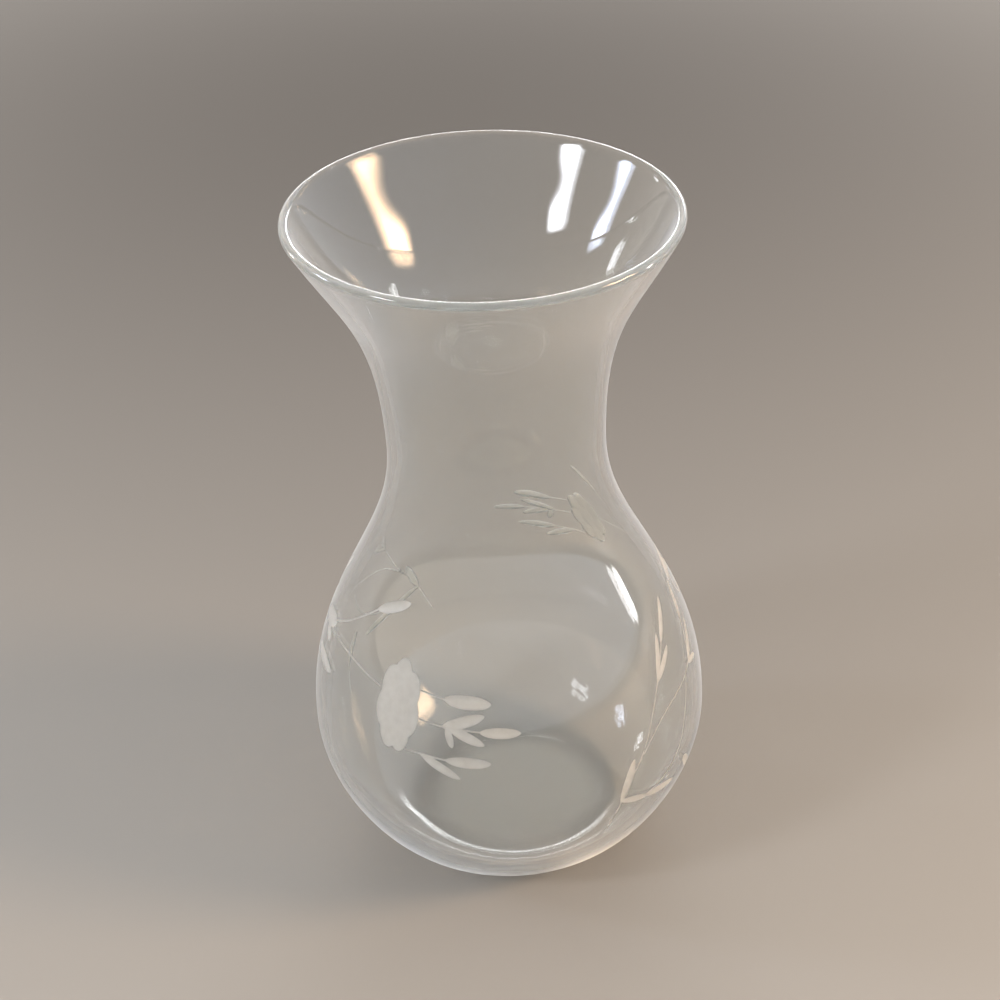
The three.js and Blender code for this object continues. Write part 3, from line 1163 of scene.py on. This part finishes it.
@dataclass(frozen=True)
class Softbox:
    """A soft rectangular light, aimed at the vase, that fades over some share of its width and height."""

    name: str
    azimuth: float
    elevation: float
    distance: float
    width: float
    tall: float
    power: float
    colour: str
    fade: float = 0.7

    def soften(self, lamp: bpy.types.AreaLight) -> None:
        """Fades the light towards its edges: a smooth step over its width times one over its height.

        Args:
            lamp: the light's data.
        """
        lamp.use_nodes = True
        tree = lamp.node_tree
        tree.nodes.clear()
        place = add_node(tree, "ShaderNodeNewGeometry").outputs["Parametric"]
        middle = add_node(
            tree, "ShaderNodeVectorMath", {0: place, 1: (0.5, 0.5, 0.0)}, operation="SUBTRACT"
        ).outputs["Vector"]
        away = add_node(
            tree, "ShaderNodeVectorMath", {0: middle}, operation="ABSOLUTE"
        ).outputs["Vector"]
        axes = add_node(tree, "ShaderNodeSeparateXYZ", {"Vector": away}).outputs
        across, up = (
            add_node(
                tree,
                "ShaderNodeMapRange",
                {"Value": axes[axis], "From Min": 0.5, "From Max": 0.5 - self.fade / 2},
                interpolation_type="SMOOTHSTEP",
            ).outputs["Result"]
            for axis in "XY"
        )
        glow = add_node(
            tree, "ShaderNodeMath", {0: across, 1: up}, operation="MULTIPLY"
        ).outputs["Value"]
        shine = add_node(tree, "ShaderNodeEmission", {"Strength": glow})
        add_node(tree, "ShaderNodeOutputLight", {"Surface": shine.outputs["Emission"]})

    def build(self, aim: Vector) -> None:
        """Places the light at its angles from the aim.

        Args:
            aim: the point that the light faces. Azimuth 0 is the camera's side of it, and 90 is +X.
        """
        a, e = np.radians([self.azimuth, self.elevation])
        away = Vector((np.cos(e) * np.sin(a), -np.cos(e) * np.cos(a), np.sin(e)))
        lamp = bpy.data.lights.new(self.name, "AREA")
        lamp.shape = "RECTANGLE"
        lamp.size, lamp.size_y = self.width, self.tall
        lamp.energy = self.power
        lamp.color = linear(self.colour)[:3]
        self.soften(lamp)
        light = bpy.data.objects.new(self.name, lamp)
        light.location = aim + self.distance * away
        light.rotation_euler = away.to_track_quat("Z", "Y").to_euler()
        light.visible_camera = False
        bpy.context.scene.collection.objects.link(light)


@dataclass(frozen=True)
class Studio:
    """A pale floor, a soft surround that is brightest at eye level, and softboxes, in metres.

    The floor's colour has painted shade that deepens round a place behind the vase, and is painted palest
    under the foot, where glass passes light on.
    """

    floor_radius: float = 4.0
    floor_drop: float = 0.0002
    floor_rings: int = 12
    floor_sides: int = 96
    first_ring: float = 0.02
    floor_pale: str = "#BBB6AE"
    # Painted shade: the floor's colour darkens to this round a place behind the vase
    floor_painted_shade: str = "#605B55"
    painted_shade_place: tuple[float, float, float] = (0.0, 0.62, 0.0)
    painted_shade_reach: float = 1.1
    # Painted light: the floor's colour is paler under the foot, standing for light that the glass passes on
    painted_passed_light: str = "#F2EEE6"
    painted_light_reach: tuple[float, float] = (0.02, 0.034)
    low_glow: float = 1.1
    high_glow: float = 0.7
    left_glow: str = "#FFF4E6"
    right_glow: str = "#E9F2FF"
    overhead_fall: float = 3.0
    light_bounces: int = 64
    haze_bounces: int = 3
    softboxes: tuple[Softbox, ...] = (
        Softbox("left_window_near", -61, 32, 1.3, 0.34, 0.21, 11.0, "#F4F7FF"),
        Softbox("left_window_middle", -99, 20, 1.3, 0.29, 0.23, 7.7, "#DCE7FF"),
        Softbox("left_window_far", -123, 8, 1.3, 0.13, 0.16, 4.4, "#F4F7FF"),
        Softbox("right_lamp", 76, 24, 1.2, 0.50, 0.42, 24.0, "#FFD9B0"),
        Softbox("right_window", 95, 2, 1.4, 0.13, 0.21, 6.6, "#FFFFFF"),
        Softbox("behind", 172, 13, 1.4, 1.6, 0.36, 25.0, "#FBFCFF"),
    )

    def build_floor(self) -> bpy.types.Object:
        """A round floor just under the foot: rings whose radius grows as the square of their number.

        Returns:
            The floor, marked as stage.
        """
        turn = np.linspace(0, 2 * np.pi, self.floor_sides, endpoint=False)
        radius = self.floor_radius * np.linspace(self.first_ring, 1, self.floor_rings) ** 2
        rows = np.column_stack([radius, np.full(len(radius), -self.floor_drop)]) / MM
        rings = turned(rows, np.repeat(rows[:, :1], len(turn), axis=1), turn)
        grid = np.arange(rings.size // 3).reshape(len(rows), len(turn))
        points = np.vstack([rings.reshape(-1, 3), [[0, 0, -self.floor_drop / MM]]])
        faces = ring_quads(grid)[:, ::-1].tolist() + fan(grid.size, grid[0]).tolist()
        floor = new_piece("floor", points, faces, np.zeros((0, 2), int))
        return floor

    def dress_floor(self, floor: bpy.types.Object) -> None:
        """Gives the floor a matt pale finish, with painted shade that deepens behind the vase and painted
        light that makes it palest under the foot.

        Args:
            floor: the floor.
        """
        material, tree = new_material("matt_painted_board")
        place = add_node(tree, "ShaderNodeTexCoord").outputs["Object"]
        # Painted shade: the colour darkens towards a place behind the vase
        away = add_node(
            tree, "ShaderNodeVectorMath", {0: place, 1: self.painted_shade_place}, operation="DISTANCE"
        ).outputs["Value"]
        fall = add_node(
            tree,
            "ShaderNodeMapRange",
            {"Value": away, "From Max": self.painted_shade_reach},
            interpolation_type="SMOOTHSTEP",
        ).outputs["Result"]
        colour = add_node(
            tree,
            "ShaderNodeMix",
            {"Factor": fall, MIX_A: linear(self.floor_painted_shade), MIX_B: linear(self.floor_pale)},
            data_type="RGBA",
        ).outputs[MIX_RESULT]
        # Painted light: the colour is paler under the foot
        middle = add_node(tree, "ShaderNodeVectorMath", {0: place}, operation="LENGTH").outputs["Value"]
        inner, outer = self.painted_light_reach
        clear = add_node(
            tree,
            "ShaderNodeMapRange",
            {"Value": middle, "From Min": inner, "From Max": outer},
            interpolation_type="SMOOTHSTEP",
        ).outputs["Result"]
        painted_light_and_shade = add_node(
            tree,
            "ShaderNodeMix",
            {"Factor": clear, MIX_A: linear(self.painted_passed_light), MIX_B: colour},
            data_type="RGBA",
        ).outputs[MIX_RESULT]
        shell = add_node(
            tree,
            "ShaderNodeBsdfPrincipled",
            {"Base Color": painted_light_and_shade, "Roughness": 0.8, "Specular IOR Level": 0.1},
        )
        add_node(tree, "ShaderNodeOutputMaterial", {"Surface": shell.outputs["BSDF"]})
        floor.data.materials.append(material)

    def let_light_through(self) -> None:
        """Lets light pass through many walls of glass, and shows its colours as they are."""
        cycles = bpy.context.scene.cycles
        cycles.max_bounces = cycles.transmission_bounces = cycles.glossy_bounces = self.light_bounces
        cycles.volume_bounces = self.haze_bounces
        bpy.context.scene.view_settings.view_transform = "Standard"

    def build_surround(self) -> None:
        """A soft surround: it falls from eye level to overhead as (1 - z)^3, and is warmer on the left."""
        world = bpy.data.worlds.new("surround")
        world.use_nodes = True
        tree = world.node_tree
        tree.nodes.clear()
        ray = add_node(tree, "ShaderNodeTexCoord").outputs["Generated"]
        way = add_node(tree, "ShaderNodeSeparateXYZ", {"Vector": ray}).outputs
        level = add_node(
            tree, "ShaderNodeMapRange", {"Value": way["Z"], "To Min": 1.0, "To Max": 0.0}
        ).outputs["Result"]
        fall = add_node(
            tree, "ShaderNodeMath", {0: level, 1: self.overhead_fall}, operation="POWER"
        ).outputs["Value"]
        strength = add_node(
            tree,
            "ShaderNodeMapRange",
            {"Value": fall, "To Min": self.high_glow, "To Max": self.low_glow},
        ).outputs["Result"]
        side = add_node(
            tree, "ShaderNodeMapRange", {"Value": way["X"], "From Min": -1.0}
        ).outputs["Result"]
        colour = add_node(
            tree,
            "ShaderNodeMix",
            {"Factor": side, MIX_A: linear(self.left_glow), MIX_B: linear(self.right_glow)},
            data_type="RGBA",
        ).outputs[MIX_RESULT]
        glow = add_node(tree, "ShaderNodeBackground", {"Color": colour, "Strength": strength})
        add_node(tree, "ShaderNodeOutputWorld", {"Surface": glow.outputs["Background"]})
        bpy.context.scene.world = world

    def build_lights(self, aim: Vector) -> None:
        """Places every softbox round the vase."""
        for box in self.softboxes:
            box.build(aim)


@dataclass(frozen=True)
class PhotoCamera:
    """The photograph's view: the camera's place in metres, its turns in degrees, and its frame."""

    back: float = 0.42856
    up: float = 0.39869
    yaw: float = 6.004
    pitch: float = 36.976
    roll: float = 0.411
    lens: float = 66.13
    sensor: float = 36.0
    shift_x: float = -0.16
    shift_y: float = 0.1
    clip: tuple[float, float] = (0.01, 20.0)

    def build(self) -> None:
        """Makes the camera: it looks along yaw and pitch, rolled about that line."""
        yaw, pitch, roll = np.radians([self.yaw, self.pitch, self.roll])
        ahead = np.array([np.sin(yaw) * np.cos(pitch), np.cos(yaw) * np.cos(pitch), -np.sin(pitch)])
        level = np.cross(ahead, (0, 0, 1))
        level /= np.linalg.norm(level)
        right = np.cos(roll) * level + np.sin(roll) * np.cross(level, ahead)
        top = np.cross(right, ahead)
        data = bpy.data.cameras.new("photo_camera")
        data.lens, data.sensor_width = self.lens, self.sensor
        data.shift_x, data.shift_y = self.shift_x, self.shift_y
        data.clip_start, data.clip_end = self.clip
        camera = bpy.data.objects.new("photo_camera", data)
        turn = Matrix(np.column_stack([right, top, -ahead]).tolist())
        camera.matrix_world = Matrix.Translation((0, -self.back, self.up)) @ turn.to_4x4()
        bpy.context.scene.collection.objects.link(camera)
        bpy.context.scene.camera = camera


def main() -> None:
    """Builds the camera, the glass, its ground decoration and the studio."""
    logging.basicConfig(level=logging.INFO, format="%(message)s")
    PhotoCamera().build()
    form = VaseForm.from_frame()
    # The far side has the same spray, half a turn round and a little higher
    band = GroundBand(form, (Spray(form, "front"), Spray(form, "back", turn=180.0, lift=8.0)))
    body = GlassBody(form, band)
    body.dress(body.build(), BlownGlass())
    band.dress(band.build(), GroundGlass())
    studio = Studio()
    studio.dress_floor(studio.build_floor())
    studio.let_light_through()
    studio.build_surround()
    studio.build_lights(Vector((0, 0, form.height / 2 * MM)))


if __name__ == "__main__":
    main()
